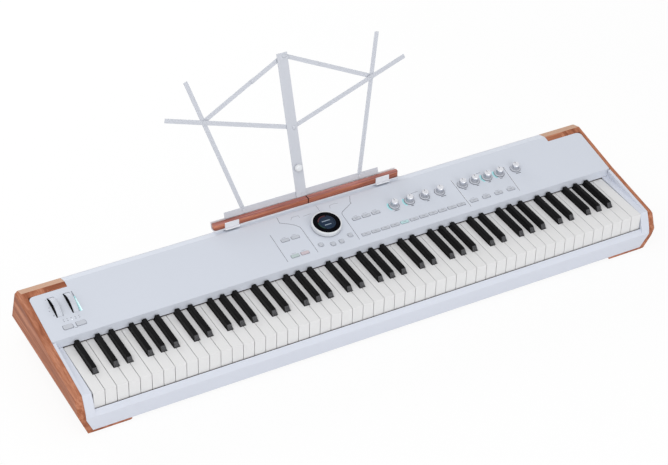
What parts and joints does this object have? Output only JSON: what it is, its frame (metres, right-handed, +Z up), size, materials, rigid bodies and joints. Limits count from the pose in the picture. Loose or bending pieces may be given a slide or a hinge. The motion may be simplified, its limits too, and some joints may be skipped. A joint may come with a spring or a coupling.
{
  "type": "stage piano",
  "caption": "Long full-size keyboard with sloping control panel, wooden ends, pitch and modulation wheels, round display and a folding music rest.",
  "frame": {"origin": "on the floor plane, under the middle of the outline of the assembly seen from above", "axes": "+X along the keyboard to the right of the player, +Y from the player to the back, +Z up"},
  "size_m": [1.29, 0.4046, 0.4427],
  "materials": {
    "white_paint": "satin cool white paint",
    "white_metal": "satin white powder coat",
    "rest_metal": "satin pale blue-grey powder coat",
    "steel_sheet": "zinc-plated sheet steel",
    "case_wood": "satin reddish brown with a fine dark grain",
    "rail_wood": "satin dark reddish brown",
    "white_key_plastic": "lightly polished warm white",
    "black_key_plastic": "satin black",
    "button_plastic": "satin cool white",
    "white_gloss": "semi-gloss cool white",
    "knob_metallic": "satin silver white",
    "display_glass": "polished black",
    "laminate": "green solder mask",
    "foot_rubber": "matt black"
  },
  "bodies": {
    "case": {"base_pan": "steel_sheet", "top_panel": "white_paint", "rear_panel": "white_metal", "front_moulding": "white_paint", "left_cheek": "case_wood", "right_cheek": "case_wood", "key_chassis": "steel_sheet", "control_board": "laminate", "wheel_box": "steel_sheet", "display_glass": "display_glass", "left_feet": "foot_rubber", "right_feet": "foot_rubber", "rest_bracket": "white_metal", "ledge_wood_left": "rail_wood", "ledge_wood_right": "rail_wood", "rest_post": "rest_metal"},
    "key_a": {"key_a": "white_key_plastic"},
    "key_a_sharp": {"key_a_sharp": "black_key_plastic"},
    "key_b": {"key_b": "white_key_plastic"},
    "key_c": {"key_c": "white_key_plastic"},
    "key_c_sharp": {"key_c_sharp": "black_key_plastic"},
    "key_d": {"key_d": "white_key_plastic"},
    "key_d_sharp": {"key_d_sharp": "black_key_plastic"},
    "key_e": {"key_e": "white_key_plastic"},
    "key_f": {"key_f": "white_key_plastic"},
    "key_f_sharp": {"key_f_sharp": "black_key_plastic"},
    "key_g": {"key_g": "white_key_plastic"},
    "key_g_sharp": {"key_g_sharp": "black_key_plastic"},
    "white_keys": {"white_keys": "white_key_plastic"},
    "black_keys": {"black_keys": "black_key_plastic"},
    "pitch_wheel": {"pitch_wheel": "white_gloss"},
    "modulation_wheel": {"modulation_wheel": "white_gloss"},
    "octave_down_button": {"octave_down_button": "button_plastic"},
    "octave_up_button": {"octave_up_button": "button_plastic"},
    "transport_buttons": {"transport_buttons": "button_plastic"},
    "mode_buttons": {"mode_buttons": "button_plastic"},
    "slot_buttons": {"slot_buttons": "button_plastic"},
    "effect_buttons": {"effect_buttons": "button_plastic"},
    "display_buttons": {"display_buttons": "button_plastic"},
    "display_ring": {"display_ring": "white_gloss"},
    "knob_1": {"knob_1": "knob_metallic"},
    "knob_2": {"knob_2": "knob_metallic"},
    "knob_3": {"knob_3": "knob_metallic"},
    "knob_4": {"knob_4": "knob_metallic"},
    "knob_5": {"knob_5": "knob_metallic"},
    "knob_6": {"knob_6": "knob_metallic"},
    "knob_7": {"knob_7": "knob_metallic"},
    "knob_8": {"knob_8": "knob_metallic"},
    "knob_9": {"knob_9": "knob_metallic"},
    "rest_thumb_knob": {"rest_thumb_knob": "white_gloss"},
    "rest_plate_left": {"rest_plate_left": "rest_metal"},
    "rest_leg_left": {"rest_leg_left": "rest_metal"},
    "rest_lower_bar_left": {"rest_lower_bar_left": "rest_metal"},
    "rest_upper_inner_left": {"rest_upper_inner_left": "rest_metal"},
    "rest_upper_outer_left": {"rest_upper_outer_left": "rest_metal"},
    "rest_plate_right": {"rest_plate_right": "rest_metal"},
    "rest_leg_right": {"rest_leg_right": "rest_metal"},
    "rest_lower_bar_right": {"rest_lower_bar_right": "rest_metal"},
    "rest_upper_inner_right": {"rest_upper_inner_right": "rest_metal"},
    "rest_upper_outer_right": {"rest_upper_outer_right": "rest_metal"}
  },
  "joints": [
    {"name": "key_a_press", "type": "hinge", "parent": "case", "child": "key_a", "pos_m": [0, 0.01624, 0.07], "axis": [1, 0, 0], "range_deg": [0, 2.75], "stiffness_Nm_per_rad": 1, "springref_deg": -8.59},
    {"name": "key_a_sharp_press", "type": "hinge", "parent": "case", "child": "key_a_sharp", "pos_m": [0, 0.01624, 0.07], "axis": [1, 0, 0], "range_deg": [0, 2.75], "stiffness_Nm_per_rad": 1, "springref_deg": -8.59},
    {"name": "key_b_press", "type": "hinge", "parent": "case", "child": "key_b", "pos_m": [0, 0.01624, 0.07], "axis": [1, 0, 0], "range_deg": [0, 2.75], "stiffness_Nm_per_rad": 1, "springref_deg": -8.59},
    {"name": "key_c_press", "type": "hinge", "parent": "case", "child": "key_c", "pos_m": [0, 0.01624, 0.07], "axis": [1, 0, 0], "range_deg": [0, 2.75], "stiffness_Nm_per_rad": 1, "springref_deg": -8.59},
    {"name": "key_c_sharp_press", "type": "hinge", "parent": "case", "child": "key_c_sharp", "pos_m": [0, 0.01624, 0.07], "axis": [1, 0, 0], "range_deg": [0, 2.75], "stiffness_Nm_per_rad": 1, "springref_deg": -8.59},
    {"name": "key_d_press", "type": "hinge", "parent": "case", "child": "key_d", "pos_m": [0, 0.01624, 0.07], "axis": [1, 0, 0], "range_deg": [0, 2.75], "stiffness_Nm_per_rad": 1, "springref_deg": -8.59},
    {"name": "key_d_sharp_press", "type": "hinge", "parent": "case", "child": "key_d_sharp", "pos_m": [0, 0.01624, 0.07], "axis": [1, 0, 0], "range_deg": [0, 2.75], "stiffness_Nm_per_rad": 1, "springref_deg": -8.59},
    {"name": "key_e_press", "type": "hinge", "parent": "case", "child": "key_e", "pos_m": [0, 0.01624, 0.07], "axis": [1, 0, 0], "range_deg": [0, 2.75], "stiffness_Nm_per_rad": 1, "springref_deg": -8.59},
    {"name": "key_f_press", "type": "hinge", "parent": "case", "child": "key_f", "pos_m": [0, 0.01624, 0.07], "axis": [1, 0, 0], "range_deg": [0, 2.75], "stiffness_Nm_per_rad": 1, "springref_deg": -8.59},
    {"name": "key_f_sharp_press", "type": "hinge", "parent": "case", "child": "key_f_sharp", "pos_m": [0, 0.01624, 0.07], "axis": [1, 0, 0], "range_deg": [0, 2.75], "stiffness_Nm_per_rad": 1, "springref_deg": -8.59},
    {"name": "key_g_press", "type": "hinge", "parent": "case", "child": "key_g", "pos_m": [0, 0.01624, 0.07], "axis": [1, 0, 0], "range_deg": [0, 2.75], "stiffness_Nm_per_rad": 1, "springref_deg": -8.59},
    {"name": "key_g_sharp_press", "type": "hinge", "parent": "case", "child": "key_g_sharp", "pos_m": [0, 0.01624, 0.07], "axis": [1, 0, 0], "range_deg": [0, 2.75], "stiffness_Nm_per_rad": 1, "springref_deg": -8.59},
    {"name": "white_keys_press", "type": "hinge", "parent": "case", "child": "white_keys", "pos_m": [0.08, 0.01624, 0.07], "axis": [1, 0, 0], "range_deg": [0, 2.75], "stiffness_Nm_per_rad": 45, "springref_deg": -8.59},
    {"name": "black_keys_press", "type": "hinge", "parent": "case", "child": "black_keys", "pos_m": [0.08, 0.01624, 0.07], "axis": [1, 0, 0], "range_deg": [0, 2.75], "stiffness_Nm_per_rad": 31, "springref_deg": -8.59},
    {"name": "pitch_wheel_turn", "type": "hinge", "parent": "case", "child": "pitch_wheel", "pos_m": [-0.592, 0.03564, 0.10082], "axis": [1, 0, 0], "range_deg": [-25, 25], "stiffness_Nm_per_rad": 0.1},
    {"name": "modulation_wheel_turn", "type": "hinge", "parent": "case", "child": "modulation_wheel", "pos_m": [-0.5596, 0.03564, 0.10082], "axis": [1, 0, 0], "range_deg": [-25, 25]},
    {"name": "octave_down_button_press", "type": "slide", "parent": "case", "child": "octave_down_button", "axis": [0, 0.1929, -0.9812], "range_m": [0, 0.001], "stiffness_N_per_m": 600, "springref_m": -0.001},
    {"name": "octave_up_button_press", "type": "slide", "parent": "case", "child": "octave_up_button", "axis": [0, 0.1929, -0.9812], "range_m": [0, 0.001], "stiffness_N_per_m": 600, "springref_m": -0.001},
    {"name": "transport_buttons_press", "type": "slide", "parent": "case", "child": "transport_buttons", "axis": [0, 0.1929, -0.9812], "range_m": [0, 0.001], "stiffness_N_per_m": 600, "springref_m": -0.001},
    {"name": "mode_buttons_press", "type": "slide", "parent": "case", "child": "mode_buttons", "axis": [0, 0.1929, -0.9812], "range_m": [0, 0.001], "stiffness_N_per_m": 600, "springref_m": -0.001},
    {"name": "slot_buttons_press", "type": "slide", "parent": "case", "child": "slot_buttons", "axis": [0, 0.1929, -0.9812], "range_m": [0, 0.001], "stiffness_N_per_m": 600, "springref_m": -0.001},
    {"name": "effect_buttons_press", "type": "slide", "parent": "case", "child": "effect_buttons", "axis": [0, 0.1929, -0.9812], "range_m": [0, 0.001], "stiffness_N_per_m": 600, "springref_m": -0.001},
    {"name": "display_buttons_press", "type": "slide", "parent": "case", "child": "display_buttons", "axis": [0, 0.1929, -0.9812], "range_m": [0, 0.001], "stiffness_N_per_m": 600, "springref_m": -0.001},
    {"name": "display_ring_turn", "type": "hinge", "parent": "case", "child": "display_ring", "pos_m": [-0.0115, 0.02685, 0.12478], "axis": [0, -0.1929, 0.9812], "continuous": true},
    {"name": "knob_1_turn", "type": "hinge", "parent": "case", "child": "knob_1", "pos_m": [0.146, 0.02636, 0.12468], "axis": [0, -0.1929, 0.9812], "range_deg": [-150, 150]},
    {"name": "knob_2_turn", "type": "hinge", "parent": "case", "child": "knob_2", "pos_m": [0.182, 0.02636, 0.12468], "axis": [0, -0.1929, 0.9812], "range_deg": [-150, 150]},
    {"name": "knob_3_turn", "type": "hinge", "parent": "case", "child": "knob_3", "pos_m": [0.218, 0.02636, 0.12468], "axis": [0, -0.1929, 0.9812], "range_deg": [-150, 150]},
    {"name": "knob_4_turn", "type": "hinge", "parent": "case", "child": "knob_4", "pos_m": [0.254, 0.02636, 0.12468], "axis": [0, -0.1929, 0.9812], "range_deg": [-150, 150]},
    {"name": "knob_5_turn", "type": "hinge", "parent": "case", "child": "knob_5", "pos_m": [0.309, 0.02636, 0.12468], "axis": [0, -0.1929, 0.9812], "range_deg": [-150, 150]},
    {"name": "knob_6_turn", "type": "hinge", "parent": "case", "child": "knob_6", "pos_m": [0.3385, 0.02636, 0.12468], "axis": [0, -0.1929, 0.9812], "range_deg": [-150, 150]},
    {"name": "knob_7_turn", "type": "hinge", "parent": "case", "child": "knob_7", "pos_m": [0.369, 0.02636, 0.12468], "axis": [0, -0.1929, 0.9812], "range_deg": [-150, 150]},
    {"name": "knob_8_turn", "type": "hinge", "parent": "case", "child": "knob_8", "pos_m": [0.3995, 0.02636, 0.12468], "axis": [0, -0.1929, 0.9812], "range_deg": [-150, 150]},
    {"name": "knob_9_turn", "type": "hinge", "parent": "case", "child": "knob_9", "pos_m": [0.439, 0.02636, 0.12468], "axis": [0, -0.1929, 0.9812], "range_deg": [-150, 150]},
    {"name": "rest_thumb_knob_turn", "type": "hinge", "parent": "case", "child": "rest_thumb_knob", "pos_m": [-0.0272, 0.12352, 0.21361], "axis": [0, -0.9521, 0.3057], "continuous": true},
    {"name": "rest_fold_left", "type": "hinge", "parent": "case", "child": "rest_plate_left", "pos_m": [-0.023, 0.1064, 0.16029], "axis": [0, 0.9521, -0.3057], "range_deg": [0, 70]},
    {"name": "rest_leg_left_turn", "type": "hinge", "parent": "rest_plate_left", "child": "rest_leg_left", "pos_m": [-0.156, 0.1064, 0.16029], "axis": [0, 0.9521, -0.3057], "range_deg": [-54.47, 0]},
    {"name": "rest_lower_left_turn", "type": "hinge", "parent": "case", "child": "rest_lower_bar_left", "pos_m": [-0.023, 0.1492, 0.29358], "axis": [0, 0.9521, -0.3057], "range_deg": [0, 60.42]},
    {"name": "rest_inner_left_turn", "type": "hinge", "parent": "case", "child": "rest_upper_inner_left", "pos_m": [-0.023, 0.19475, 0.43545], "axis": [0, 0.9521, -0.3057], "range_deg": [-60.63, 0]},
    {"name": "rest_outer_left_turn", "type": "hinge", "parent": "rest_upper_inner_left", "child": "rest_upper_outer_left", "pos_m": [-0.09499, 0.18422, 0.40264], "axis": [0, 0.9521, -0.3057], "range_deg": [0, 159.68]},
    {"name": "rest_fold_right", "type": "hinge", "parent": "case", "child": "rest_plate_right", "pos_m": [-0.023, 0.1064, 0.16029], "axis": [0, -0.9521, 0.3057], "range_deg": [0, 70]},
    {"name": "rest_leg_right_turn", "type": "hinge", "parent": "rest_plate_right", "child": "rest_leg_right", "pos_m": [0.11, 0.1064, 0.16029], "axis": [0, -0.9521, 0.3057], "range_deg": [-54.47, 0]},
    {"name": "rest_lower_right_turn", "type": "hinge", "parent": "case", "child": "rest_lower_bar_right", "pos_m": [-0.023, 0.1492, 0.29358], "axis": [0, -0.9521, 0.3057], "range_deg": [0, 60.42]},
    {"name": "rest_inner_right_turn", "type": "hinge", "parent": "case", "child": "rest_upper_inner_right", "pos_m": [-0.023, 0.19475, 0.43545], "axis": [0, -0.9521, 0.3057], "range_deg": [-60.63, 0]},
    {"name": "rest_outer_right_turn", "type": "hinge", "parent": "rest_upper_inner_right", "child": "rest_upper_outer_right", "pos_m": [0.04899, 0.18422, 0.40264], "axis": [0, -0.9521, 0.3057], "range_deg": [0, 159.68]}
  ],
  "couplings": [
    {"joint": "rest_leg_left_turn", "follows": "rest_fold_left", "ratio": -0.771},
    {"joint": "rest_lower_left_turn", "follows": "rest_fold_left", "ratio": 0.856},
    {"joint": "rest_inner_left_turn", "follows": "rest_fold_left", "ratio": -0.859},
    {"joint": "rest_outer_left_turn", "follows": "rest_fold_left", "ratio": 2.274},
    {"joint": "rest_leg_right_turn", "follows": "rest_fold_right", "ratio": -0.771},
    {"joint": "rest_lower_right_turn", "follows": "rest_fold_right", "ratio": 0.856},
    {"joint": "rest_inner_right_turn", "follows": "rest_fold_right", "ratio": -0.859},
    {"joint": "rest_outer_right_turn", "follows": "rest_fold_right", "ratio": 2.274}
  ]
}
